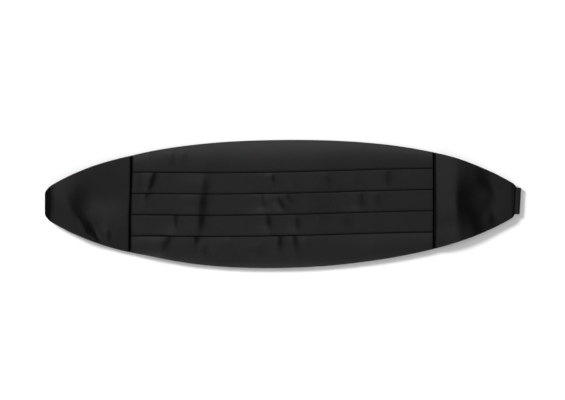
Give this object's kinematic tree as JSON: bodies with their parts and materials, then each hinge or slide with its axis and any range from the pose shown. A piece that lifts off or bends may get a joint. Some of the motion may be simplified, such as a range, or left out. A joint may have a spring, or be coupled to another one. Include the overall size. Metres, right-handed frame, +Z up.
{
  "type": "cummerbund",
  "caption": "Wide pleated waist sash for evening dress: a satin front in upward folds between plain tapered ends, held by an elastic strap that hooks together at the back.",
  "frame": {"origin": "on the surface that it lies on, under the middle of the whole garment", "axes": "+X to the right along the garment, +Y towards its top edge, +Z up out of the satin face"},
  "size_m": [0.524, 0.1402, 0.0083],
  "materials": {
    "satin": "black satin, soft sheen",
    "back_cloth": "black twill, dull",
    "elastic": "black ribbed elastic webbing",
    "clasp_metal": "black enamelled steel"
  },
  "bodies": {
    "root": {"back_panel": "back_cloth", "pleated_front": "satin", "end_panel_left": "satin", "end_panel_right": "satin", "strap_left": "elastic", "strap_right": "elastic", "clasp_eye": "clasp_metal", "clasp_hook": "clasp_metal"}
  },
  "joints": []
}
